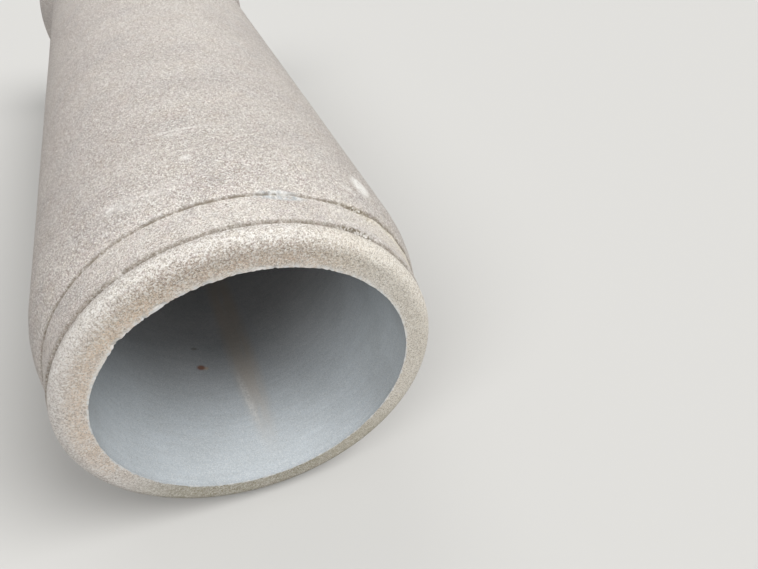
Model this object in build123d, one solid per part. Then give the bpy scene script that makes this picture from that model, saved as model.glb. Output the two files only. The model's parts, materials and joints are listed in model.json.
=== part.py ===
"""A concrete culvert pipe with a spigot and a bell, cast in one piece and lying on a level floor.

Half of the lengthwise section is drawn with the radius along X and the length along Y, and is
turned about Y. The spigot's end face is drawn at Y = 0, and the bell opens at the far end.
"""
from build123d import *
import math
import os

# Barrel, in millimetres: a 24 inch bore with a 3 3/4 inch wall, laid in 8 foot lengths
bore_diameter = 609.6
barrel_wall = 95.25
laying_length = 2438.4

# Spigot: a blunt nose, a step that a ring gasket sits against, a drafted seat and a shoulder
nose_wall = 63.2
nose_round = 27.0
nose_length = 42.5
nose_relief = 4.5
gasket_step = 4.5
gasket_step_run = 3.0
seat_length = 64.0
seat_draft = 6.5
shoulder_step = 3.5
shoulder_step_run = 3.0
shoulder_angle = 20.0
shoulder_round = 250.0

# Bell outside: a band that ends in a rounded rim, and a flare down to the barrel
bell_wall = 153.0
bell_band = 118.0
bell_rim_round = 16.0
bell_crest_round = 40.0
bell_flare_angle = 32.0
bell_foot_round = 90.0

# Bell inside: a lip, a lead-in, a drafted land that squeezes the gasket, and a dished seat
lip_round = 7.0
lead_in_depth = 32.0
lead_in_rise = 18.0
land_length = 59.0
land_draft = 2.2
land_mouth_round = 20.0
seat_dish = 17.0

# Joint: how far apart two bores stay when the nose is home, and the gap round the spigot's seat
joint_opening = 11.0
joint_gap = 3.4

# Rounds never take more than this share of a side between them
side_share = 0.98

# Spigot, as radii and as distances along the pipe from the spigot's end face
bore_radius = bore_diameter / 2
barrel_radius = bore_radius + barrel_wall
nose_tip_radius = bore_radius + nose_wall
nose_root_radius = nose_tip_radius - nose_relief
seat_start_radius = nose_root_radius + gasket_step
seat_end_radius = seat_start_radius + seat_draft
shoulder_radius = seat_end_radius + shoulder_step
seat_start = nose_length + gasket_step_run
seat_end = seat_start + seat_length
shoulder_start = seat_end + shoulder_step_run
shoulder_run = (barrel_radius - shoulder_radius) / math.tan(math.radians(shoulder_angle))
barrel_start = shoulder_start + shoulder_run

# Bell, along the pipe: the next pipe's end face stands at the laying length, past the bore's end
bell_seat = laying_length - joint_opening
land_end = bell_seat + seat_dish
land_mouth = land_end + land_length
bell_face = land_mouth + lead_in_depth
band_start = bell_face - bell_band

# Bell, as radii: the land's mouth clears the next pipe's seat where the two pipes meet there
met_seat_radius = seat_start_radius + (land_mouth - laying_length - seat_start) * seat_draft / seat_length
land_mouth_radius = met_seat_radius + joint_gap
land_end_radius = land_mouth_radius - land_draft
lip_radius = land_mouth_radius + lead_in_rise
bell_radius = bore_radius + bell_wall
flare_run = (bell_radius - barrel_radius) / math.tan(math.radians(bell_flare_angle))
flare_start = band_start - flare_run

# Corners of the half section as radius, length and round, where a round of 0 is a sharp corner
corners = [
    (bore_radius, 0, 0),
    (nose_tip_radius, 0, nose_round),
    (nose_root_radius, nose_length, 0),
    (seat_start_radius, seat_start, 0),
    (seat_end_radius, seat_end, 0),
    (shoulder_radius, shoulder_start, 0),
    (barrel_radius, barrel_start, shoulder_round),
    (barrel_radius, flare_start, bell_foot_round),
    (bell_radius, band_start, bell_crest_round),
    (bell_radius, bell_face, bell_rim_round),
    (lip_radius, bell_face, lip_round),
    (land_mouth_radius, land_mouth, land_mouth_round),
    (land_end_radius, land_end, 0),
    (bore_radius, bell_seat, 0),
]


def turn_at(points, index):
    """Gives the angle in radians by which the outline turns at a corner."""
    before = Vector(*points[index]) - Vector(*points[index - 1])
    after = Vector(*points[(index + 1) % len(points)]) - Vector(*points[index])
    return math.radians(before.get_angle(after))


def rounds_that_fit(points, rounds):
    """Keeps the rounds at both ends of each side from taking more than their share of it."""
    reach = [size * math.tan(turn_at(points, index) / 2) for index, size in enumerate(rounds)]
    fitted = list(rounds)
    for index, point in enumerate(points):
        following = (index + 1) % len(points)
        room = side_share * math.dist(point, points[following])
        taken = reach[index] + reach[following]
        if taken > room:
            fitted[index] = min(fitted[index], rounds[index] * room / taken)
            fitted[following] = min(fitted[following], rounds[following] * room / taken)
    return fitted


def cast_pipe(points, rounds):
    """Turns the rounded half section about the pipe's axis."""
    outline = FilletPolyline(*points, radius=rounds, close=True)
    return revolve(make_face(outline), Axis.Y, 360)


def round_centre(point, size, turn):
    """Gives the centre of a round that runs smoothly into a straight side further along."""
    radius, length = point
    return radius - size, length + size * math.tan(turn / 2)


def lay_on_floor(pipe, points, rounds):
    """Tips the pipe so that the barrel's end and the bell's crest both touch the floor."""
    touching = [points.index((barrel_radius, barrel_start)), points.index((bell_radius, band_start))]
    low, high = [round_centre(points[i], rounds[i], turn_at(points, i)) for i in touching]
    low_round, high_round = [rounds[i] for i in touching]
    rise = high[0] - low[0]
    run = high[1] - low[1]
    tip = math.atan2(rise, run) - math.asin((low_round - high_round) / math.hypot(rise, run))
    floor_drop = low[0] * math.cos(tip) - low[1] * math.sin(tip) + low_round
    tipped = Pos(0, 0, floor_drop) * Rot(X=math.degrees(tip)) * pipe
    return Pos(0, -tipped.bounding_box().center().Y, 0) * tipped


outline_points = [(radius, length) for radius, length, size in corners]
outline_rounds = rounds_that_fit(outline_points, [size for radius, length, size in corners])
pipe = lay_on_floor(cast_pipe(outline_points, outline_rounds), outline_points, outline_rounds)

os.makedirs("parts", exist_ok=True)
export_step(pipe, "parts/pipe.step")
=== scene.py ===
"""A precast concrete culvert pipe: its worn spigot, its sandy and smooth faces, and a studio round it.

The pipe is one piece. Half of its lengthwise section is drawn as a few corners, rounded, cut into
rings and spun about the bore's axis. Its edges are then chipped and its steps roughened, point by
point. Lengths are in metres unless a name says otherwise.
"""
import json
import math
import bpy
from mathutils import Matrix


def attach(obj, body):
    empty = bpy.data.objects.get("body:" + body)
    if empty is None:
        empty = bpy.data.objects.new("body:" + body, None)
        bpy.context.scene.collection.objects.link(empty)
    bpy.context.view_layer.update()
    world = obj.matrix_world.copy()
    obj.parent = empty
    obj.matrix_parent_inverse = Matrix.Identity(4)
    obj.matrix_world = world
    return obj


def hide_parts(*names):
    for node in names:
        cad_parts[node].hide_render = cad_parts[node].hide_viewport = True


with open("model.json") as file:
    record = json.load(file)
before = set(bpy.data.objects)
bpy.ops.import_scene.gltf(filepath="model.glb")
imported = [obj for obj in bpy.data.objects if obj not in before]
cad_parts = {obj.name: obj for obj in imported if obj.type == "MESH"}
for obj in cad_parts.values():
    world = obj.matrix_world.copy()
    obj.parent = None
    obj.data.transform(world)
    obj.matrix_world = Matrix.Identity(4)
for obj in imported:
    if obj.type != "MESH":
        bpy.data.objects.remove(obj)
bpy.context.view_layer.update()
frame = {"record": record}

from types import SimpleNamespace

import bmesh
import bpy
from bpy.props import FloatProperty, FloatVectorProperty, IntProperty, PointerProperty
from mathutils import Matrix, Vector, noise

bl_info = {
    "name": "Concrete Culvert Pipe",
    "version": (1, 0, 0),
    "blender": (4, 5, 0),
    "location": "3D View > Sidebar > Pipe",
    "description": "Models a precast concrete pipe with a worn spigot, and a studio to show it in",
    "category": "Object",
}

# Facts that the frame gives: where the spigot's mouth is, how far the pipe tips, and its main sizes
mounts = {mount["name"]: mount for mount in frame["record"]["mounts"]}
mouth = Vector(mounts["spigot_joint"]["pos_m"])
mouth_axis = Vector(mounts["spigot_joint"]["axis"])
tip = math.atan2(-mouth_axis.z, -mouth_axis.y)
stated_bore = mounts["bore"]["dims"]
stated_barrel = mounts["barrel"]["dims"]
millimetre = 0.001
full_turn = 2 * math.pi

# The pipe is drawn level along Y from its mouth, and then tipped and laid in place. It goes a hair
# further in than the solid, so that its mouth stays inside the solid's box.
inset = Vector((0, millimetre / 100, 0))
pipe_to_scene = Matrix.Translation(mouth + inset) @ Matrix.Rotation(tip, 4, "X")

# How finely rounds are cut, how much closer rings are on the bell, and which edges stay sharp
least_facets = 3
degrees_per_facet = 6
bell_fineness = 4
sharp_angle = math.radians(42)

# How level the two ends of a ring's edge are, and how near the bore's radius a point of the bore is
ring_slack = millimetre / 20
face_slack = millimetre / 10

# Wear: how whitish a metre of chip is, how far past the shoulder's step the steps' wear is worked
# out, and how gently the barrel's waves start past that step
white_of_chip = 160
steps_end = 0.03
waves_start = 0.1

# The slope that the shoulder's step is worn to on one side: how far past the step it ends and how
# much higher, how far past the seat it can reach, its climb, and the climb of the shoulder itself
worn_run = 0.008
worn_rise = 0.003
worn_reach = 0.018
worn_climb = 0.0024
shoulder_slope = 0.364

# Finish: the coarser grains' size and height beside the fine ones', the share of a mark's size that
# has its full strength, the height of the bore's rings beside its ripples, and the ripples' size
coarse_grain = 2.0
coarse_height = 0.7
mark_middle = 0.35
ring_height = 0.4
ripple_size = 0.006
ripple_depth = 0.0006

# A sun's place doesn't matter to its light: it hangs here to be seen in the viewport
lamp_distance = 5.0

# Sockets of the Mix node when it mixes colours
FACTOR, UNDER, OVER, MIXED = 0, 6, 7, 2


def linear(code):
    """Turns an sRGB hex colour into linear red, green and blue."""
    parts = [int(code[i:i + 2], 16) / 255 for i in (1, 3, 5)]
    return [part / 12.92 if part <= 0.04045 else ((part + 0.055) / 1.055) ** 2.4 for part in parts]


def metres(name, description, default):
    """Makes a setting that is a length."""
    return FloatProperty(
        name=name, description=description, default=default, unit="LENGTH", subtype="DISTANCE",
        min=0.0, precision=4)


def degrees(name, description, default):
    """Makes a setting that is an angle, with its default in degrees."""
    return FloatProperty(
        name=name, description=description, default=math.radians(default), unit="ROTATION",
        subtype="ANGLE")


def paint(name, description, default):
    """Makes a setting that is a colour, with its default as an sRGB hex colour."""
    return FloatVectorProperty(
        name=name, description=description, default=linear(default), subtype="COLOR", size=3,
        min=0.0, max=1.0)


class PipeSizes(bpy.types.PropertyGroup):
    """The pipe's section, worked out from its spigot's end face, and how finely it is cut."""

    bore_radius: metres("Bore radius", "Inside radius of the pipe", stated_bore["r_mm"] * millimetre)
    bore_length: metres(
        "Bore length", "From the spigot's end face to the seat in the bell",
        stated_bore["length_mm"] * millimetre)
    barrel_radius: metres(
        "Barrel radius", "Outside radius of the barrel", stated_barrel["r_mm"] * millimetre)
    nose_tip_radius: metres("Nose tip", "Radius of the nose at its end face", 0.368)
    nose_root_radius: metres("Nose root", "Radius of the nose at the gasket's step", 0.3635)
    nose_length: metres("Nose length", "From the end face to the gasket's step", 0.0425)
    nose_round: metres("Nose round", "Round between the end face and the nose", 0.027)
    seat_start_radius: metres("Seat start radius", "Radius at the top of the gasket's step", 0.368)
    seat_start: metres("Seat start", "Distance to the top of the gasket's step", 0.0455)
    seat_end_radius: metres("Seat end radius", "Radius at the foot of the shoulder's step", 0.3745)
    seat_end: metres("Seat end", "Distance to the foot of the shoulder's step", 0.1095)
    shoulder_radius: metres("Shoulder radius", "Radius at the top of the shoulder's step", 0.378)
    shoulder_start: metres("Shoulder start", "Distance to the top of the shoulder's step", 0.1125)
    shoulder_angle: degrees("Shoulder angle", "Slope of the shoulder", 20)
    shoulder_round: metres("Shoulder round", "Round from the shoulder to the barrel", 0.25)
    bell_radius: metres("Bell radius", "Outside radius of the bell", 0.4578)
    # 0.03 mm less than the solid's, so that the tipped face of the bell stays inside the solid's box
    bell_depth: metres("Bell depth", "From the seat at the bore to the bell's face", 0.10797)
    bell_band: metres("Bell band", "Length of the bell's straight outside", 0.118)
    flare_angle: degrees("Flare angle", "Slope from the barrel to the bell", 32)
    flare_foot_round: metres("Flare foot round", "Round from the barrel to the flare", 0.09)
    crest_round: metres("Crest round", "Round from the flare to the band", 0.04)
    rim_round: metres("Rim round", "Round from the band to the bell's face", 0.016)
    lip_radius: metres("Lip radius", "Radius of the bell's mouth at its face", 0.39138)
    lip_round: metres("Lip round", "Round at the bell's mouth", 0.007)
    lead_in_depth: metres("Lead-in depth", "Depth of the slope inside the bell's mouth", 0.032)
    land_mouth_radius: metres("Land mouth radius", "Radius where the lead-in meets the land", 0.37338)
    land_mouth_round: metres("Land mouth round", "Round between the lead-in and the land", 0.02)
    land_end_radius: metres("Land end radius", "Radius of the land at the seat", 0.37118)
    seat_dish: metres("Seat dish", "How much further in the seat is at the bore", 0.017)
    segments: IntProperty(
        name="Segments", description="Faces round the barrel", default=216, min=24)
    fine_cuts: IntProperty(
        name="Fine cuts", description="Cuts across each face near the spigot's end", default=2, min=0)
    finest_ring: metres("Finest ring", "Distance between rings at a worn edge", 0.0014)
    ring_growth: FloatProperty(
        name="Ring growth", description="How fast rings spread away from the worn edges",
        default=0.50, min=0.05, subtype="FACTOR")
    coarsest_ring: metres("Coarsest ring", "Distance between rings on the barrel", 0.08)
    fine_reach: metres("Fine reach", "How far from the worn edges the faces are cut finely", 0.065)


class WearSizes(bpy.types.PropertyGroup):
    """How rough the cast edges are."""

    flash_height: metres("Flash height", "How far the thin lip of cement stands into the bore", 0.0042)
    flash_length: metres("Flash length", "How far the lip of cement runs along the bore", 0.007)
    edge_chip: metres("Edge chips", "Depth of the chips along the bore's edge", 0.0055)
    gasket_groove: metres("Gasket groove", "Depth of the rough groove under the gasket's step", 0.0030)
    shoulder_groove: metres(
        "Shoulder groove", "Depth of the fine groove along the shoulder's step", 0.0018)
    step_wander: metres("Step wander", "How far the steps wander along the pipe", 0.0018)
    step_lean: metres(
        "Step lean", "How much nearer the gasket's step is to the mouth on one side", 0.0026)
    step_chip: metres("Step chips", "Depth of the chips along the steps", 0.0040)
    spall_depth: metres("Spall depth", "Depth of the broken patches by the steps", 0.0060)
    rim_chip: metres("Rim chips", "Depth of the chips round the bell's mouth", 0.006)
    waviness: metres("Waviness", "Depth of the slow waves of the cast wall", 0.0012)


class ConcreteLook(bpy.types.PropertyGroup):
    """Colours and grain of the concrete."""

    sand_colour: paint("Sandy face", "Dry sandy concrete", "#b4ada6")
    # Also paints the outer band of the nose as a painted highlight, and the sides of the nose and end face
    # paler: painted light
    pale_colour: paint("Pale sand", "Lighter patches and worn ridges", "#dcd6cd")
    grey_colour: paint("Grey sand", "Cooler patches", "#a4a0a0")
    rose_colour: paint("Rosy sand", "Faintly pink patches", "#c1b1af")
    tan_colour: paint("Tan stain", "Clay washed over the end face", "#e4c7a6")
    clay_colour: paint("Clay", "Brown clay on the end face's upper part", "#a8937c")
    # Also paints the right of the nose and of the end face paler: painted light
    cream_colour: paint("Cream", "Worn slope of the shoulder's step", "#e7decd")
    olive_colour: paint("Olive stain", "Damp, greenish dirt", "#97927a")
    # Dirt, and the painted shade along the steps
    dirt_and_shade_colour: paint("Dirt", "Dirt in the steps", "#746a59")
    dark_grain_colour: paint("Dark grains", "Dark sand grains and pits", "#847a72")
    # Also washes the sides of the nose and end face paler: painted light
    lime_and_light_colour: paint("Lime", "Broken cement edges and scuffs", "#eeece7")
    cement_colour: paint("Bore cement", "Smooth cement in the bore", "#bfc6cb")
    cement_deep_colour: paint("Deep cement", "Cement further in, out of the weather", "#c6c2c2")
    cement_dark_colour: paint("Dark cement", "Darker clouds in the bore", "#9fa4a6")
    silt_colour: paint("Silt", "Silt that water left along the bore", "#cdb9a2")
    rust_colour: paint("Rust", "Rust spots", "#95532a")
    # Sand of this mix is 0.5 to 1 mm, which is too fine to show here, so its grains are drawn coarser
    grain_size: metres("Grain size", "Size of the sand grains that show", 0.00145)
    grain_depth: metres("Grain depth", "How deep the grain of the sandy face is", 0.0008)


class StudioLook(bpy.types.PropertyGroup):
    """The floor, the light and the camera."""

    floor_colour: paint("Floor", "Colour that the camera sees", "#c9c8c5")
    room_colour: paint("Room", "Colour that the camera sees past the floor", "#e2e1dd")
    floor_bounce: paint("Floor bounce", "Colour of the light that the floor sends back", "#8c8b88")
    floor_size: metres("Floor size", "Length of the floor's sides", 160.0)
    room_light: FloatProperty(
        name="Room light", description="Strength of the even light from all round", default=0.32, min=0.0)
    softness: degrees("Softness", "How wide each lamp looks from the pipe", 34)
    lamp_side: degrees("Lamp side", "How far each front lamp is to the side of straight ahead", 50)
    key_height: degrees("Key height", "How far the lamp on the right is above level", 54.5)
    key_strength: FloatProperty(
        name="Key strength", description="Strength of the lamp on the right", default=2.43, min=0.0)
    fill_height: degrees("Fill height", "How far the lamp on the left is above level", 43)
    fill_strength: FloatProperty(
        name="Fill strength", description="Strength of the lamp on the left", default=1.25, min=0.0)
    back_height: degrees("Back height", "How far the lamp behind is above level", 50)
    back_strength: FloatProperty(
        name="Back strength", description="Strength of the lamp behind", default=0.30, min=0.0)
    frame_width_px: IntProperty(
        name="Frame width", description="Width of the photograph", default=758, subtype="PIXEL")
    focal_length_px: IntProperty(
        name="Focal length", description="Distance from lens to picture, in pixels of that frame",
        default=560, subtype="PIXEL")
    sensor_width_mm: FloatProperty(
        name="Sensor width", description="Width of the camera's sensor in millimetres",
        default=36.0, unit="CAMERA")
    camera_place: FloatVectorProperty(
        name="Camera place", description="Where the camera stands, from the middle of the mouth",
        default=(-0.0981, -0.7251, 0.8658), size=3, subtype="TRANSLATION", unit="LENGTH")
    camera_aim: FloatVectorProperty(
        name="Camera aim", description="What the camera looks at, from the middle of the mouth",
        default=(0.5346, 0.6653, -0.3947), size=3, subtype="TRANSLATION", unit="LENGTH")
    camera_roll: degrees("Camera roll", "How far the camera is turned about its line of sight", 3.5824)


def put_together(bm, name):
    """Makes an object at the origin from a bmesh and links it to the scene."""
    mesh = bpy.data.meshes.new(name)
    bm.to_mesh(mesh)
    bm.free()
    piece = bpy.data.objects.new(name, mesh)
    bpy.context.scene.collection.objects.link(piece)
    return piece


def half_section(sizes):
    """Gives the corners of the half section as radius, length and round, once round the concrete."""
    bell_face = sizes.bore_length + sizes.bell_depth
    land_mouth = bell_face - sizes.lead_in_depth
    band_start = bell_face - sizes.bell_band
    shoulder_run = (sizes.barrel_radius - sizes.shoulder_radius) / math.tan(sizes.shoulder_angle)
    flare_run = (sizes.bell_radius - sizes.barrel_radius) / math.tan(sizes.flare_angle)
    return [
        (sizes.bore_radius, 0, 0),
        (sizes.nose_tip_radius, 0, sizes.nose_round),
        (sizes.nose_root_radius, sizes.nose_length, 0),
        (sizes.seat_start_radius, sizes.seat_start, 0),
        (sizes.seat_end_radius, sizes.seat_end, 0),
        (sizes.shoulder_radius, sizes.shoulder_start, 0),
        (sizes.barrel_radius, sizes.shoulder_start + shoulder_run, sizes.shoulder_round),
        (sizes.barrel_radius, band_start - flare_run, sizes.flare_foot_round),
        (sizes.bell_radius, band_start, sizes.crest_round),
        (sizes.bell_radius, bell_face, sizes.rim_round),
        (sizes.lip_radius, bell_face, sizes.lip_round),
        (sizes.land_mouth_radius, land_mouth, sizes.land_mouth_round),
        (sizes.land_end_radius, sizes.bore_length + sizes.seat_dish, 0),
        (sizes.bore_radius, sizes.bore_length, 0),
    ]


def worn_rings(sizes):
    """Gives the rings that wear shows on: the bore's edge, the two steps and the worn slope's end."""
    return [
        Vector((0, 0, sizes.bore_radius)),
        Vector((0, sizes.nose_length, sizes.nose_root_radius)),
        Vector((0, sizes.seat_start, sizes.seat_start_radius)),
        Vector((0, sizes.seat_end, sizes.seat_end_radius)),
        Vector((0, sizes.shoulder_start, sizes.shoulder_radius)),
        Vector((0, sizes.shoulder_start + worn_run, sizes.shoulder_radius + worn_rise)),
    ]


def draw_section(bm, sizes):
    """Draws the half section with the radius along Z and the length along Y, and rounds its corners."""
    corners = half_section(sizes)
    points = [bm.verts.new((0, length, radius)) for radius, length, size in corners]
    for point, following in zip(points, points[1:] + points[:1]):
        bm.edges.new((point, following))
    rounds = []
    for index, (radius, length, size) in enumerate(corners):
        before = points[index].co - points[index - 1].co
        after = points[(index + 1) % len(points)].co - points[index].co
        turn = before.angle(after)
        facets = max(least_facets, round(math.degrees(turn) / degrees_per_facet))
        rounds.append((points[index], size * math.tan(turn / 2), facets))
    for point, reach, facets in rounds:
        if reach > 0:
            bmesh.ops.bevel(
                bm, geom=[point], offset=reach, offset_type="OFFSET", segments=facets,
                profile=0.5, affect="VERTICES", material=-1)


def ring_spacing(place, sizes, rings):
    """Gives how far apart rings may be at a place of the section."""
    nearest = min((place - ring).length for ring in rings)
    in_bell = place.y > sizes.bore_length - sizes.bell_band
    coarsest = sizes.coarsest_ring / bell_fineness if in_bell else sizes.coarsest_ring
    return min(max(sizes.finest_ring, sizes.ring_growth * nearest), coarsest)


def cut_rings(bm, sizes):
    """Halves the section's sides until each is as short as its place asks."""
    rings = worn_rings(sizes)
    while True:
        too_long = [
            edge for edge in bm.edges
            if edge.calc_length() > ring_spacing((edge.verts[0].co + edge.verts[1].co) / 2, sizes, rings)]
        if not too_long:
            return
        bmesh.ops.subdivide_edges(bm, edges=too_long, cuts=1)


def radius_of(place):
    """Gives how far a place is from the pipe's axis."""
    return math.hypot(place.x, place.z)


def is_round_ring(edge):
    """Tells whether an edge runs round the pipe and not along its section."""
    first, second = (vert.co for vert in edge.verts)
    along = abs(first.y - second.y)
    outward = abs(radius_of(first) - radius_of(second))
    return along < ring_slack and outward < ring_slack


def spin_section(bm, sizes):
    """Spins the section about the axis, and cuts the faces near the spigot's end finely."""
    bmesh.ops.spin(
        bm, geom=bm.verts[:] + bm.edges[:], cent=(0, 0, 0), axis=(0, 1, 0), dvec=(0, 0, 0),
        angle=full_turn, space=Matrix(), steps=sizes.segments, use_merge=True,
        use_normal_flip=False, use_duplicate=False)
    bmesh.ops.recalc_face_normals(bm, faces=bm.faces[:])
    rings = worn_rings(sizes)
    fine = []
    for edge in bm.edges:
        place = Vector((0, edge.verts[0].co.y, radius_of(edge.verts[0].co)))
        nearest = min((place - ring).length for ring in rings)
        if nearest < sizes.fine_reach and is_round_ring(edge):
            fine.append(edge)
    bmesh.ops.subdivide_edges(bm, edges=fine, cuts=sizes.fine_cuts, use_grid_fill=True)
    # Faces at the fine part's border have gained corners, and are cut into triangles here
    bmesh.ops.poke(bm, faces=[face for face in bm.faces if len(face.verts) > 4])


def bumps(place, size, seed):
    """Gives noise from -1 to 1 whose bumps are about a size across, and differ with the seed."""
    return noise.noise(place / size + Vector((seed, 2.3 * seed, 3.7 * seed)))


def bell_curve(distance, width):
    """Gives 1 at no distance, falling to nothing past about twice the width."""
    return math.exp(-(distance / width) ** 2)


def over(value, threshold):
    """Gives how far a value is over a threshold, or 0."""
    return max(0.0, value - threshold)


def ramp(value, start, end):
    """Gives 0 at the start value and 1 at the end value, in a straight line between them."""
    return max(0.0, min(1.0, (value - start) / (end - start)))


# Broken patches by the steps: angle from level in degrees, distance from the spigot's end face and
# half sizes in metres, and share of the full depth
SPALLS = [
    {"angle": 61.5, "length": 0.0480, "around": 0.017, "along": 0.0045, "depth": 0.8},
    {"angle": 55.0, "length": 0.0445, "around": 0.026, "along": 0.0065, "depth": 1.0},
    {"angle": 49.5, "length": 0.0490, "around": 0.014, "along": 0.0040, "depth": 0.7},
    {"angle": 48.0, "length": 0.1060, "around": 0.020, "along": 0.0060, "depth": 0.8},
    {"angle": 42.0, "length": 0.1110, "around": 0.030, "along": 0.0045, "depth": 0.6},
    {"angle": 121.0, "length": 0.0450, "around": 0.012, "along": 0.0035, "depth": 0.5},
]


def wear_bore_edge(place, radius, outward, sizes, wear):
    """Moves a point near the bore's edge for the flash and its chips, and gives how whitish it is."""
    in_bore = radius < sizes.bore_radius + face_slack
    reach = math.hypot(radius - sizes.bore_radius, place.y)
    # The lip is ragged along the top of the bore and thin below
    ragged = ramp(place.z, 0.05, 0.20) * (0.45 + 0.55 * ramp(place.x, 0.12, -0.06))
    quick = bumps(place, size=0.010, seed=5.1) + 0.6 * bumps(place, size=0.0048, seed=9.4)
    lumps = max(0.0, 0.3 + bumps(place, size=0.07, seed=1.7) + 0.6 * quick)
    flash = wear.flash_height * (0.32 + 0.20 * quick + 0.62 * ragged * lumps)
    inward = flash * over(1, place.y / wear.flash_length) if in_bore else 0.0
    rough = quick + 0.6 * bumps(place, size=0.035, seed=3.3)
    breaks = over(rough, 0.16) * (0.12 + 0.88 * ragged)
    chip = wear.edge_chip * breaks * bell_curve(reach, width=0.0045)
    moved = place + outward * (chip - inward) + Vector((0, 0.8 * chip, 0))
    upper = ramp(place.z, -0.16, 0.04)
    band = 0.0015 + 0.0042 * ramp(place.z, 0.04, 0.24) + 0.0012 * quick
    white = bell_curve(reach, width=band) * (0.28 + 0.55 * upper + 0.7 * quick)
    return moved, ramp(white + white_of_chip * chip, 0.0, 1.0)


def wear_gasket_step(place, outward, sizes, wear):
    """Makes the gasket's step wander, with a rough groove at its foot and chips along its top."""
    past_foot = place.y - sizes.nose_length
    past_top = place.y - sizes.seat_start
    near = bell_curve(place.y - (sizes.nose_length + sizes.seat_start) / 2, width=0.007)
    wander = bumps(place, size=0.06, seed=11.3) + 0.6 * bumps(place, size=0.012, seed=13.3)
    along = wear.step_wander * near * wander
    along -= wear.step_lean * near * ramp(place.x, 0.12, -0.10)
    rough = 0.9 + 0.55 * bumps(place, size=0.013, seed=15.3) + 0.5 * bumps(place, size=0.0055, seed=17.3)
    groove = wear.gasket_groove * max(0.0, rough) * bell_curve(past_foot + 0.0004, width=0.0018)
    chips = over(bumps(place, size=0.009, seed=19.3) + 0.6 * bumps(place, size=0.022, seed=21.3), 0.12)
    worn = 0.35 + 0.6 * ramp(place.x, 0.08, 0.26)
    chip = wear.step_chip * worn * chips * bell_curve(past_top - 0.0012, width=0.0030)
    left = ramp(place.x, -0.08, -0.28)
    # A darker line at the step's foot, wider on the left: painted shade in its groove, and dirt
    dirt = bell_curve(past_foot - 0.0005, width=0.0029 + 0.0026 * left) * (0.36 + 0.38 * rough)
    return place - outward * (groove + chip) + Vector((0, along, 0)), ramp(dirt, 0.0, 1.0)


def wear_shoulder_step(place, radius, outward, sizes, wear):
    """Leaves the shoulder's step fine on one side, and wears it to a broad slope on the other."""
    worn = ramp(place.x, 0.15, 0.26)
    # The step climbs as it does in the solid, or half as steeply where it is worn
    slope = 1.17 - 0.57 * worn + 0.07 * bumps(place, size=0.030, seed=31.9)
    past_seat = place.y - sizes.seat_end
    cut = 0.0
    if 0 < past_seat < worn_reach:
        cut = over(radius, sizes.seat_end_radius + slope * past_seat)
    wander = 0.5 * bumps(place, size=0.05, seed=33.9) + 0.35 * bumps(place, size=0.012, seed=35.9)
    brink = sizes.seat_end + worn * worn_climb / (slope - shoulder_slope)
    brink += wear.step_wander * wander
    rough = 0.9 + 0.45 * bumps(place, size=0.012, seed=37.9) + 0.4 * bumps(place, size=0.0050, seed=39.9)
    line = bell_curve(place.y - brink - 0.0008, width=0.0019 + 0.0016 * worn) * max(0.0, rough)
    groove = wear.shoulder_groove * (1 + 2.0 * worn) * line
    # Its second value darkens a line along the step: painted shade in its groove, and dirt
    return place - outward * (cut + groove), ramp(line * (1.1 + 0.8 * worn), 0.0, 1.0)


def broken_at(place):
    """Gives how broken the cast surface is at a place, from 0 to 1 or a little more."""
    angle = math.degrees(math.atan2(place.z, place.x))
    radius = radius_of(place)
    deepest = 0.0
    for spall in SPALLS:
        around = math.radians(angle - spall["angle"]) * radius / spall["around"]
        along = (place.y - spall["length"]) / spall["along"]
        ragged = 0.55 * bumps(place, size=0.008, seed=41.0) + 0.30 * bumps(place, size=0.004, seed=43.0)
        deepest = max(deepest, ramp(1 - math.hypot(around, along) + ragged, 0.0, 0.30) * spall["depth"])
    return deepest * max(0.0, 0.75 + 0.7 * bumps(place, size=0.0045, seed=47.0))


def wear_steps(place, radius, outward, sizes, wear):
    """Moves a point by one of the steps, and gives how whitish it is and how much dirt and painted shade it
    has.
    """
    if place.y < (sizes.seat_start + sizes.seat_end) / 2:
        moved, dirt = wear_gasket_step(place, outward, sizes, wear)
    else:
        moved, dirt = wear_shoulder_step(place, radius, outward, sizes, wear)
    broken = broken_at(place)
    pocket = ramp(broken, 0.1, 0.5) * ramp(bumps(place, size=0.006, seed=51.0), -0.1, 0.25)
    white = ramp(broken, 0.1, 0.6) * 0.6 * (1 - pocket)
    # Dark pockets in the broken patches, over the steps' painted shade and dirt
    dirt = max(dirt * (1 - ramp(broken, 0.0, 0.5)), 0.9 * pocket)
    return moved - outward * (wear.spall_depth * broken), white, dirt


def wear_wall(place, radius, outward, sizes, wear):
    """Moves a point of the barrel or the bell for slow waves and for chips round the bell's mouth."""
    # The underside stays true, because the pipe lies on it
    off_floor = ramp(place.z + radius, -0.005, 0.05)
    wave = wear.waviness * (0.5 + 0.5 * bumps(place, size=0.16, seed=0.4)) * off_floor
    bell_face = sizes.bore_length + sizes.bell_depth
    from_rim = bell_face - place.y if radius > sizes.lip_radius else 1.0
    breaks = over(bumps(place, size=0.020, seed=23.0) + 0.5 * bumps(place, size=0.009, seed=27.0), 0.34)
    chip = wear.rim_chip * breaks * bell_curve(from_rim, width=0.012)
    fade = ramp(place.y, sizes.shoulder_start, sizes.shoulder_start + waves_start)
    return place - outward * (wave * fade + chip) - Vector((0, chip, 0))


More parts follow.
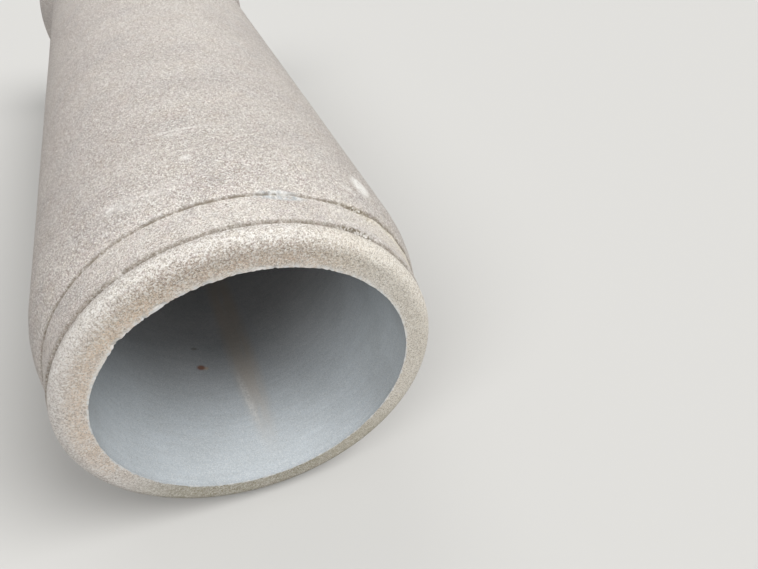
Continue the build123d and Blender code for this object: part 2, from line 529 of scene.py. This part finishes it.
def wear_surface(bm, sizes, wear):
    """Moves every point a little, and writes how whitish it is and how much dirt and painted shade it has,
    for the finish to use.
    """
    white_layer = bm.verts.layers.float.new("broken_edge")
    shade_and_dirt_layer = bm.verts.layers.float.new("step_shade_and_dirt")
    outside_radius = (sizes.bore_radius + sizes.nose_root_radius) / 2
    for vert in bm.verts:
        place = vert.co.copy()
        radius = radius_of(place)
        outward = Vector((place.x / radius, 0, place.z / radius))
        if radius < outside_radius and place.y < sizes.fine_reach:
            vert.co, vert[white_layer] = wear_bore_edge(place, radius, outward, sizes, wear)
        elif radius > outside_radius and place.y < sizes.shoulder_start + steps_end:
            vert.co, vert[white_layer], vert[shade_and_dirt_layer] = wear_steps(place, radius, outward, sizes, wear)
        elif radius > outside_radius:
            vert.co = wear_wall(place, radius, outward, sizes, wear)


def add_node(tree, kind, inputs=None, **settings):
    """Adds a node with its settings, and gives its inputs values or links."""
    node = tree.nodes.new(kind)
    for name, value in settings.items():
        setattr(node, name, value)
    for socket, value in (inputs or {}).items():
        if isinstance(value, bpy.types.NodeSocket):
            tree.links.new(value, node.inputs[socket])
        else:
            node.inputs[socket].default_value = value
    return node


def new_material(name):
    """Makes an empty material and gives it with its node tree."""
    material = bpy.data.materials.new(name)
    material.use_nodes = True
    material.node_tree.nodes.clear()
    return material, material.node_tree


def pipe_coordinates(tree):
    """Gives a place in the pipe's own frame, the same as three parts, and its angle from level."""
    inverse = pipe_to_scene.inverted()
    coordinates = add_node(tree, "ShaderNodeTexCoord").outputs["Object"]
    place = add_node(tree, "ShaderNodeMapping", {
        "Vector": coordinates,
        "Location": inverse.to_translation(),
        "Rotation": inverse.to_euler(),
    }).outputs[0]
    parts = add_node(tree, "ShaderNodeSeparateXYZ", {0: place}).outputs
    angle = add_node(tree, "ShaderNodeMath", {
        0: parts["Z"], 1: parts["X"]}, operation="ARCTAN2").outputs[0]
    return place, parts, angle


def distance_from_axis(tree, place):
    """Gives how far a place is from the pipe's axis."""
    flat = add_node(tree, "ShaderNodeVectorMath", {
        0: place, 1: (1, 0, 1)}, operation="MULTIPLY").outputs[0]
    return add_node(tree, "ShaderNodeVectorMath", {0: flat}, operation="LENGTH").outputs["Value"]


def patches(tree, place, size, low, high, detail=3.0, stretch=(1, 1, 1)):
    """Gives a mask from 0 to 1 of soft patches about a size across, stretched along the pipe's axes."""
    scaled = add_node(tree, "ShaderNodeMapping", {"Vector": place, "Scale": stretch}).outputs[0]
    cloud = add_node(tree, "ShaderNodeTexNoise", {
        "Vector": scaled, "Scale": 1 / size, "Detail": detail, "Roughness": 0.6}).outputs["Fac"]
    return add_node(tree, "ShaderNodeMapRange", {
        "Value": cloud, "From Min": low, "From Max": high}, interpolation_type="SMOOTHSTEP").outputs[0]


def span(tree, value, start, end):
    """Gives a mask that rises smoothly from 0 at the start value to 1 at the end value."""
    rising = end > start
    return add_node(tree, "ShaderNodeMapRange", {
        "Value": value, "From Min": start if rising else end, "From Max": end if rising else start,
        "To Min": 0.0 if rising else 1.0, "To Max": 1.0 if rising else 0.0,
    }, interpolation_type="SMOOTHSTEP").outputs[0]


def times(tree, first, *others):
    """Gives the product of masks, any of which may also be a number."""
    product = first
    for other in others:
        product = add_node(tree, "ShaderNodeMath", {
            0: product, 1: other}, operation="MULTIPLY").outputs[0]
    return product


def spot(tree, angle, length, radius, mark):
    """Gives a mask of one mark on a round wall, with its half sizes round and along the pipe."""
    away = add_node(tree, "ShaderNodeMath", {
        0: angle, 1: math.radians(mark["angle"])}, operation="SUBTRACT").outputs[0]
    along = add_node(tree, "ShaderNodeMath", {
        0: length, 1: mark["length"]}, operation="SUBTRACT").outputs[0]
    flat = add_node(tree, "ShaderNodeCombineXYZ", {0: times(tree, away, radius), 1: along}).outputs[0]
    fitted = add_node(tree, "ShaderNodeMapping", {
        "Vector": flat, "Rotation": (0, 0, math.radians(mark.get("turn", 0))),
        "Scale": (mark["around"], mark["along"], 1)}, vector_type="TEXTURE").outputs[0]
    distance = add_node(tree, "ShaderNodeVectorMath", {0: fitted}, operation="LENGTH").outputs["Value"]
    return span(tree, distance, 1.0, mark_middle)


def vertex_mask(tree, name):
    """Gives a mask that the wear wrote into the mesh."""
    return add_node(tree, "ShaderNodeAttribute", attribute_name=name).outputs["Fac"]


# Marks, placed by angle from level in degrees and by distance from the spigot's end face. Outside
# there are scuffs, a smear of cement on the shoulder's step, and crumbled places of both steps.
SCUFFS = [
    {"angle": 48.5, "length": 0.200, "around": 0.034, "along": 0.042, "turn": 0, "strength": 0.85},
    {"angle": 55.0, "length": 0.160, "around": 0.030, "along": 0.010, "turn": 20, "strength": 0.35},
    {"angle": 46.0, "length": 0.245, "around": 0.050, "along": 0.006, "turn": 24, "strength": 0.30},
    {"angle": 97.0, "length": 0.336, "around": 0.075, "along": 0.006, "turn": 4, "strength": 0.45},
    {"angle": 99.5, "length": 0.322, "around": 0.030, "along": 0.010, "strength": 0.34},
    {"angle": 112.0, "length": 0.165, "around": 0.110, "along": 0.022, "turn": 8, "strength": 0.20},
    {"angle": 118.5, "length": 0.172, "around": 0.012, "along": 0.009, "strength": 0.50},
    {"angle": 97.7, "length": 0.227, "around": 0.014, "along": 0.013, "strength": 0.50},
    {"angle": 77.5, "length": 0.110, "around": 0.030, "along": 0.006, "strength": 0.55},
]
SMEAR = {"angle": 77.5, "length": 0.106, "around": 0.056, "along": 0.013, "turn": 4}
CRUMBLED = [
    {"angle": 57.0, "length": 0.0450, "around": 0.062, "along": 0.0100},
    {"angle": 53.0, "length": 0.1140, "around": 0.040, "along": 0.0090},
]

# In the bore there are a rust spot with its tail, a dark mark, and the lines of water and of chalk
RUST_SPOT = {"angle": -110.3, "length": 0.359, "around": 0.015, "along": 0.012, "turn": 10}
RUST_TAIL = {"angle": -108.2, "length": 0.356, "around": 0.012, "along": 0.008, "turn": 10}
DARK_SPOT = {"angle": -111.8, "length": 0.430, "around": 0.012, "along": 0.007}
WATER_LINE = {"angle": -90.2, "length": 0.52, "around": 0.052, "along": 0.52, "turn": 2}
CHALK_LINE = {"angle": -92.0, "length": 0.240, "around": 0.013, "along": 0.13, "turn": 6}


def paint_layers(tree, base, layers):
    """Lays colours over a base, each where its mask says and as strongly as its number says."""
    shade = (*base, 1)
    for mask, colour, strength in layers:
        shade = add_node(tree, "ShaderNodeMix", {
            FACTOR: times(tree, mask, strength), UNDER: shade, OVER: (*colour, 1)},
            data_type="RGBA").outputs[MIXED]
    return shade


def find_grains(tree, place, size):
    """Gives two random numbers from 0 to 1 for every grain, and how far its middle is in grains."""
    grains = add_node(tree, "ShaderNodeTexVoronoi", {
        "Vector": place, "Scale": 1 / size, "Randomness": 1.0}, feature="F1")
    numbers = add_node(tree, "ShaderNodeSeparateColor", {0: grains.outputs["Color"]}).outputs
    return SimpleNamespace(tone=numbers[0], chance=numbers[1], distance=grains.outputs["Distance"])


def outside_zones(tree, place, parts, sizes):
    """Gives masks of the zones outside, each by where it starts and where it is full, in metres."""
    across, length, height = parts["X"], parts["Y"], parts["Z"]
    radius = distance_from_axis(tree, place)
    from_middle = add_node(tree, "ShaderNodeMath", {0: across}, operation="ABSOLUTE").outputs[0]

    # Along the pipe from its mouth
    end_face = span(tree, length, 0.024, 0.004)
    nose = span(tree, length, 0.044, 0.036)
    nose_front = span(tree, length, 0.040, 0.018)
    seat = times(tree, span(tree, length, 0.055, 0.070), span(tree, length, 0.118, 0.108))
    slope = times(tree, span(tree, length, 0.105, 0.108), span(tree, length, 0.1215, 0.1195))

    # Outwards from the bore
    past_lip = span(tree, radius, sizes.bore_radius + 0.014, sizes.bore_radius + 0.0282)
    by_lip = span(tree, radius, sizes.bore_radius + 0.050, sizes.bore_radius + 0.012)
    by_bore = times(tree, end_face, by_lip)

    # Round the pipe, as seen from in front of its mouth
    above = times(tree, span(tree, height, 0.08, 0.24), span(tree, across, 0.25, 0.12))
    left = times(tree, span(tree, across, -0.10, -0.24), span(tree, height, -0.20, -0.06))
    low = times(tree, span(tree, height, -0.12, -0.25), span(tree, across, -0.35, -0.20))
    seat_side = times(tree, span(tree, across, 0.18, 0.27), span(tree, height, -0.16, 0.12))
    slope_side = times(tree, span(tree, across, 0.17, 0.25), patches(tree, place, 0.012, 0.20, 0.45))
    return SimpleNamespace(
        spigot_end=span(tree, length, 0.150, 0.105),
        barrel=span(tree, length, 0.105, 0.150),
        left_side=span(tree, across, 0.05, -0.30),
        nose=nose,
        nose_left=times(tree, nose_front, span(tree, across, -0.20, -0.33)),
        # Painted light: the right of the nose is painted paler, as if lit more
        painted_lit_nose_right=times(tree, nose, span(tree, across, 0.06, 0.20)),
        # Painted light: the sides of the nose and end face are painted paler, as if lit more
        painted_lit_nose_sides=times(tree, nose_front, span(tree, from_middle, 0.14, 0.29)),
        # Painted highlight: the outer band of the nose is painted paler all round
        painted_lit_ridge=times(tree, span(tree, length, 0.005, 0.013), span(tree, length, 0.036, 0.022)),
        under_ridge=times(tree, span(tree, length, 0.0095, 0.0040), past_lip, above),
        bore_inner=times(tree, by_bore, span(tree, height, -0.16, 0.04)),
        bore_above=times(tree, by_bore, above),
        bore_left=times(tree, by_bore, left, patches(tree, place, 0.045, 0.22, 0.56)),
        # Painted light: the right of the end face is painted paler, as if lit more
        painted_lit_face_right=times(tree, end_face, span(tree, across, 0.20, 0.33)),
        nose_low=times(tree, nose, low),
        seat_side=times(tree, seat, seat_side),
        worn_slope=times(tree, slope, slope_side))


def skin_layers(tree, place, zone, look):
    """Gives the colours under the grain: clouds of the mix, stains and pale edges by zone, and painted
    light: a painted highlight round the outer band of the nose, and its sides and right painted paler.
    """
    return [
        (zone.spigot_end, look.pale_colour, 0.85),
        (zone.left_side, look.rose_colour, 0.35),
        (patches(tree, place, 0.20, 0.40, 0.64), look.pale_colour, 0.40),
        (patches(tree, place, 0.12, 0.46, 0.70), look.grey_colour, 0.55),
        (patches(tree, place, 0.035, 0.42, 0.72), look.rose_colour, 0.35),
        (patches(tree, place, 0.055, 0.50, 0.74), look.clay_colour, 0.30),
        (patches(tree, place, 0.012, 0.44, 0.70), look.grey_colour, 0.40),
        # Painted highlight: the outer band of the nose painted pale
        (zone.painted_lit_ridge, look.pale_colour, 0.80),
        (zone.bore_inner, look.pale_colour, 0.72),
        # Painted light: the sides of the nose and end face painted paler
        (zone.painted_lit_nose_sides, look.pale_colour, 0.90),
        (times(tree, zone.under_ridge, patches(tree, place, 0.05, 0.10, 0.45)), look.clay_colour, 0.42),
        (times(tree, zone.bore_above, patches(tree, place, 0.04, 0.25, 0.55)), look.tan_colour, 0.45),
        (zone.bore_left, look.tan_colour, 0.85),
        (times(tree, zone.bore_above, patches(tree, place, 0.03, 0.50, 0.66)), look.rust_colour, 0.22),
        (times(tree, zone.nose_low, patches(tree, place, 0.05, 0.15, 0.55)), look.olive_colour, 0.80),
        # Painted light: the right of the nose painted cream and paler
        (zone.painted_lit_nose_right, look.cream_colour, 0.45),
        (zone.seat_side, look.cream_colour, 0.60),
        (zone.worn_slope, look.cream_colour, 0.80),
    ]


def grain_layers(tree, zone, fine, coarse, look):
    """Gives the grains of sand, darker and lighter than the skin, and coarser on the barrel."""
    return [
        (span(tree, fine.tone, 0.52, 0.05), look.dark_grain_colour, 0.74),
        (span(tree, fine.tone, 0.52, 0.95), look.lime_and_light_colour, 0.84),
        (span(tree, coarse.tone, 0.40, 0.0), look.dark_grain_colour, 0.12),
        (span(tree, coarse.tone, 0.60, 1.0), look.lime_and_light_colour, 0.10),
        (times(tree, zone.barrel, span(tree, coarse.tone, 0.45, 0.10)), look.dark_grain_colour, 0.25),
        (times(tree, zone.barrel, span(tree, coarse.tone, 0.62, 0.95)), look.lime_and_light_colour, 0.23),
        (times(tree, zone.under_ridge, span(tree, fine.tone, 0.40, 0.10)), look.dirt_and_shade_colour, 0.24),
        (span(tree, coarse.chance, 0.65, 0.95), look.rose_colour, 0.30),
        (span(tree, coarse.chance, 0.35, 0.05), look.cream_colour, 0.20),
    ]


def wash_layers(tree, zone, fine, coarse, look):
    """Gives the thin washes of clay and lime over the grain, paler washes that are painted light on the
    nose's sides and right and on the end face's right, and the bolder grains of the nose.
    """
    return [
        (zone.nose_left, look.rose_colour, 0.22),
        (zone.bore_left, look.tan_colour, 0.28),
        (zone.bore_above, look.tan_colour, 0.16),
        # Painted light: a paler wash on the sides of the nose and end face
        (zone.painted_lit_nose_sides, look.lime_and_light_colour, 0.25),
        # Painted light: a cream wash on the right of the end face
        (zone.painted_lit_face_right, look.cream_colour, 0.30),
        (times(tree, zone.nose, span(tree, coarse.tone, 0.34, 0.08)), look.dark_grain_colour, 0.24),
        (times(tree, zone.nose, span(tree, coarse.tone, 0.64, 0.90)), look.lime_and_light_colour, 0.52),
        # Painted light: another pale wash on the right of the nose, with dark specks over it
        (zone.painted_lit_nose_right, look.cream_colour, 0.26),
        (times(tree, zone.painted_lit_nose_right, span(tree, fine.tone, 0.30, 0.05)), look.dirt_and_shade_colour, 0.42),
        (span(tree, fine.chance, 0.92, 0.96), look.dirt_and_shade_colour, 0.60),
        (zone.nose_low, look.olive_colour, 0.34),
        (zone.worn_slope, look.cream_colour, 0.22),
    ]


def mark_layers(tree, place, angle, length, sizes, look):
    """Gives the marks on top: the cement smear, dirt and painted shade in the steps, crumbled places and
    scuffs.
    """
    smear = spot(tree, angle, length, sizes.shoulder_radius, SMEAR)
    step_shade_and_dirt = times(tree, vertex_mask(tree, "step_shade_and_dirt"), patches(tree, place, 0.006, 0.25, 0.55))
    layers = [
        (times(tree, smear, patches(tree, place, 0.011, 0.34, 0.56)), look.cement_colour, 0.85),
        (times(tree, smear, patches(tree, place, 0.0060, 0.48, 0.58)), look.cement_dark_colour, 0.80),
        (times(tree, smear, patches(tree, place, 0.0075, 0.53, 0.62)), look.lime_and_light_colour, 0.75),
        # Painted shade and dirt along the steps
        (step_shade_and_dirt, look.dirt_and_shade_colour, 0.82),
        (vertex_mask(tree, "broken_edge"), look.lime_and_light_colour, 0.75),
    ]
    for mark in CRUMBLED:
        here = spot(tree, angle, length, sizes.seat_end_radius, mark)
        layers.append((times(tree, here, patches(tree, place, 0.0055, 0.46, 0.53)), look.dirt_and_shade_colour, 0.90))
        layers.append((times(tree, here, patches(tree, place, 0.0050, 0.56, 0.61)), look.lime_and_light_colour, 0.80))
    for mark in SCUFFS:
        here = spot(tree, angle, length, sizes.barrel_radius, mark)
        worn = times(tree, here, patches(tree, place, 0.007, 0.25, 0.55))
        layers.append((worn, look.lime_and_light_colour, mark["strength"]))
    return layers


def sandy_concrete(look, sizes):
    """Dry-cast concrete stripped at once: a sandy skin whose grains catch light, stained and worn, with
    painted light on the nose and end face and painted shade along the steps.
    """
    material, tree = new_material("sandy cast concrete")
    place, parts, angle = pipe_coordinates(tree)
    zone = outside_zones(tree, place, parts, sizes)
    fine = find_grains(tree, place, look.grain_size)
    coarse = find_grains(tree, place, look.grain_size * coarse_grain)
    layers = skin_layers(tree, place, zone, look)
    layers += grain_layers(tree, zone, fine, coarse, look)
    layers += wash_layers(tree, zone, fine, coarse, look)
    layers += mark_layers(tree, place, angle, parts["Y"], sizes, look)
    shade = paint_layers(tree, look.sand_colour, layers)

    # Every grain is a small dome, highest in its middle
    fall = add_node(tree, "ShaderNodeMath", {
        0: coarse.distance, 1: coarse_height, 2: fine.distance}, operation="MULTIPLY_ADD").outputs[0]
    normal = add_node(tree, "ShaderNodeBump", {
        "Height": times(tree, fall, -1), "Distance": look.grain_depth, "Strength": 0.7}).outputs[0]
    # Dry and dusty, so that it has next to no sheen
    surface = add_node(tree, "ShaderNodeBsdfPrincipled", {
        "Base Color": shade, "Roughness": 0.92, "IOR": 1.5, "Normal": normal,
        "Specular IOR Level": 0.35})
    add_node(tree, "ShaderNodeOutputMaterial", {"Surface": surface.outputs[0]})
    return material


def bore_cement(look, sizes):
    """Cement slurry pressed smooth by the core: bluish grey, with faint rings and a water line."""
    material, tree = new_material("smooth bore cement")
    place, parts, angle = pipe_coordinates(tree)
    length = parts["Y"]
    grain = find_grains(tree, place, look.grain_size)
    water, chalk, rust_tail, rust, dark = [
        spot(tree, angle, length, sizes.bore_radius, mark)
        for mark in (WATER_LINE, CHALK_LINE, RUST_TAIL, RUST_SPOT, DARK_SPOT)]
    rings = patches(tree, place, 0.010, 0.40, 0.68, detail=4.0, stretch=(0.10, 1, 0.10))
    clouds = patches(tree, place, 0.16, 0.38, 0.66)
    streaks = patches(tree, place, 0.030, 0.10, 0.55, detail=4.0, stretch=(1, 0.15, 1))
    crumbs = patches(tree, place, 0.006, 0.35, 0.65)
    layers = [
        (span(tree, length, 0.15, 0.60), look.cement_deep_colour, 0.90),
        (rings, look.cement_dark_colour, 0.20),
        (clouds, look.cement_dark_colour, 0.30),
        (span(tree, grain.tone, 0.5, 0.0), look.cement_dark_colour, 0.35),
        (span(tree, grain.tone, 0.5, 1.0), look.lime_and_light_colour, 0.30),
        (span(tree, grain.chance, 0.955, 0.975), look.dirt_and_shade_colour, 0.30),
        (times(tree, water, streaks), look.silt_colour, 0.44),
        (times(tree, chalk, crumbs), look.lime_and_light_colour, 0.42),
        (rust_tail, look.tan_colour, 0.50),
        (rust, look.rust_colour, 0.80),
        (dark, look.dirt_and_shade_colour, 0.45),
        (vertex_mask(tree, "broken_edge"), look.lime_and_light_colour, 0.80),
    ]
    shade = paint_layers(tree, look.cement_colour, layers)

    ripples = add_node(tree, "ShaderNodeTexNoise", {
        "Vector": place, "Scale": 1 / ripple_size, "Detail": 4.0, "Roughness": 0.6}).outputs["Fac"]
    height = add_node(tree, "ShaderNodeMath", {
        0: rings, 1: ring_height, 2: ripples}, operation="MULTIPLY_ADD").outputs[0]
    normal = add_node(tree, "ShaderNodeBump", {
        "Height": height, "Distance": ripple_depth, "Strength": 0.5}).outputs[0]
    # Dense paste, so that it has a soft sheen where light grazes it
    surface = add_node(tree, "ShaderNodeBsdfPrincipled", {
        "Base Color": shade, "Roughness": 0.75, "IOR": 1.5, "Normal": normal})
    add_node(tree, "ShaderNodeOutputMaterial", {"Surface": surface.outputs[0]})
    return material


def give_finishes(piece, sizes, look):
    """Gives the bore and the inside of the bell smooth cement, and all else sandy concrete."""
    piece.data.materials.append(sandy_concrete(look, sizes))
    piece.data.materials.append(bore_cement(look, sizes))
    bell_inside = sizes.bore_length - millimetre
    bell_wall = sizes.land_mouth_radius + millimetre
    for face in piece.data.polygons:
        radius = radius_of(face.center)
        in_bore = radius < sizes.bore_radius + face_slack and face.center.y > 0
        in_bell = face.center.y > bell_inside and radius < bell_wall
        face.material_index = 1 if in_bore or in_bell else 0
        face.use_smooth = True


class PIPE_OT_cast_pipe(bpy.types.Operator):
    """Models the concrete pipe with its worn edges and gives it its finishes"""

    bl_idname = "culvert.cast_pipe"
    bl_label = "Cast Pipe"

    def execute(self, context):
        scene = context.scene
        sizes = scene.pipe_sizes
        bm = bmesh.new()
        draw_section(bm, sizes)
        cut_rings(bm, sizes)
        spin_section(bm, sizes)
        wear_surface(bm, sizes, scene.pipe_wear)
        piece = put_together(bm, "culvert_pipe")
        give_finishes(piece, sizes, scene.concrete_look)
        piece.data.transform(pipe_to_scene)
        piece.data.set_sharp_from_angle(angle=sharp_angle)
        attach(piece, "root")
        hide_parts("pipe")
        return {"FINISHED"}


def floor_paint(studio):
    """Matt studio floor: pale to the camera, and darker in the light that it sends back."""
    material, tree = new_material("studio floor")
    seen = add_node(tree, "ShaderNodeLightPath").outputs["Is Camera Ray"]
    shade = add_node(tree, "ShaderNodeMix", {
        FACTOR: seen, UNDER: (*studio.floor_bounce, 1), OVER: (*studio.floor_colour, 1)},
        data_type="RGBA").outputs[MIXED]
    surface = add_node(tree, "ShaderNodeBsdfDiffuse", {"Color": shade})
    add_node(tree, "ShaderNodeOutputMaterial", {"Surface": surface.outputs[0]})
    return material


def light_room(scene, studio):
    """Lights the room evenly, and shows the camera the floor's own colour past its edge."""
    world = bpy.data.worlds.new("studio room")
    world.use_nodes = True
    tree = world.node_tree
    tree.nodes.clear()
    seen = add_node(tree, "ShaderNodeLightPath").outputs["Is Camera Ray"]
    even = add_node(tree, "ShaderNodeBackground", {"Color": (1, 1, 1, 1), "Strength": studio.room_light})
    shown = add_node(tree, "ShaderNodeBackground", {"Color": (*studio.room_colour, 1), "Strength": 1.0})
    mixed = add_node(tree, "ShaderNodeMixShader", {0: seen, 1: even.outputs[0], 2: shown.outputs[0]})
    add_node(tree, "ShaderNodeOutputWorld", {"Surface": mixed.outputs[0]})
    scene.world = world


def hang_lamp(scene, name, side, height, strength, softness):
    """Hangs a wide, far lamp to a side of straight ahead of the spigot, so that it lights evenly."""
    lamp = bpy.data.lights.new(name, "SUN")
    lamp.angle = softness
    lamp.energy = strength
    level = math.cos(height)
    towards = Vector((level * math.sin(side), -level * math.cos(side), math.sin(height)))
    holder = bpy.data.objects.new(name, lamp)
    holder.location = mouth + lamp_distance * towards
    holder.rotation_euler = (-towards).to_track_quat("-Z", "Y").to_euler()
    scene.collection.objects.link(holder)


def set_camera(scene, studio):
    """Stands the camera where the photograph was taken from, as placed from the spigot's mouth."""
    place = mouth + Vector(studio.camera_place)
    aim = mouth + Vector(studio.camera_aim)
    lens = bpy.data.cameras.new("photo camera")
    lens.sensor_width = studio.sensor_width_mm
    lens.lens = studio.focal_length_px / studio.frame_width_px * studio.sensor_width_mm
    camera = bpy.data.objects.new("photo camera", lens)
    level = (aim - place).to_track_quat("-Z", "Y").to_matrix().to_4x4()
    camera.matrix_world = Matrix.Translation(place) @ level @ Matrix.Rotation(studio.camera_roll, 4, "Z")
    scene.collection.objects.link(camera)
    scene.camera = camera


class PIPE_OT_set_stage(bpy.types.Operator):
    """Lays the floor, hangs the lamps and stands the camera"""

    bl_idname = "culvert.set_stage"
    bl_label = "Set Stage"

    def execute(self, context):
        scene = context.scene
        studio = scene.studio_look
        bm = bmesh.new()
        bmesh.ops.create_grid(bm, x_segments=1, y_segments=1, size=studio.floor_size / 2)
        floor = put_together(bm, "studio_floor")
        floor.data.materials.append(floor_paint(studio))
        light_room(scene, studio)
        soft = studio.softness
        hang_lamp(scene, "key lamp", studio.lamp_side, studio.key_height, studio.key_strength, soft)
        hang_lamp(scene, "fill lamp", -studio.lamp_side, studio.fill_height, studio.fill_strength, soft)
        hang_lamp(scene, "back lamp", math.pi, studio.back_height, studio.back_strength, soft)
        set_camera(scene, studio)
        scene.view_settings.view_transform = "Standard"
        return {"FINISHED"}


class PIPE_PT_sidebar(bpy.types.Panel):
    """Shows the pipe's and the stage's buttons and settings in the sidebar"""

    bl_idname = "PIPE_PT_sidebar"
    bl_label = "Concrete Pipe"
    bl_space_type = "VIEW_3D"
    bl_region_type = "UI"
    bl_category = "Pipe"

    def draw(self, context):
        scene = context.scene
        self.layout.operator(PIPE_OT_cast_pipe.bl_idname)
        self.layout.operator(PIPE_OT_set_stage.bl_idname)
        for group in (scene.pipe_sizes, scene.pipe_wear, scene.concrete_look, scene.studio_look):
            box = self.layout.box()
            for name in group.__annotations__:
                box.prop(group, name)


CLASSES = [
    PipeSizes, WearSizes, ConcreteLook, StudioLook, PIPE_OT_cast_pipe, PIPE_OT_set_stage, PIPE_PT_sidebar]


def register():
    """Registers the classes and gives the scene its settings."""
    for kind in CLASSES:
        bpy.utils.register_class(kind)
    bpy.types.Scene.pipe_sizes = PointerProperty(type=PipeSizes)
    bpy.types.Scene.pipe_wear = PointerProperty(type=WearSizes)
    bpy.types.Scene.concrete_look = PointerProperty(type=ConcreteLook)
    bpy.types.Scene.studio_look = PointerProperty(type=StudioLook)


def unregister():
    """Takes the settings from the scene and unregisters the classes."""
    for name in ("pipe_sizes", "pipe_wear", "concrete_look", "studio_look"):
        delattr(bpy.types.Scene, name)
    for kind in reversed(CLASSES):
        bpy.utils.unregister_class(kind)


def main():
    """Runs the operators in order."""
    register()
    bpy.ops.culvert.cast_pipe()
    bpy.ops.culvert.set_stage()


if __name__ == "__main__":
    main()
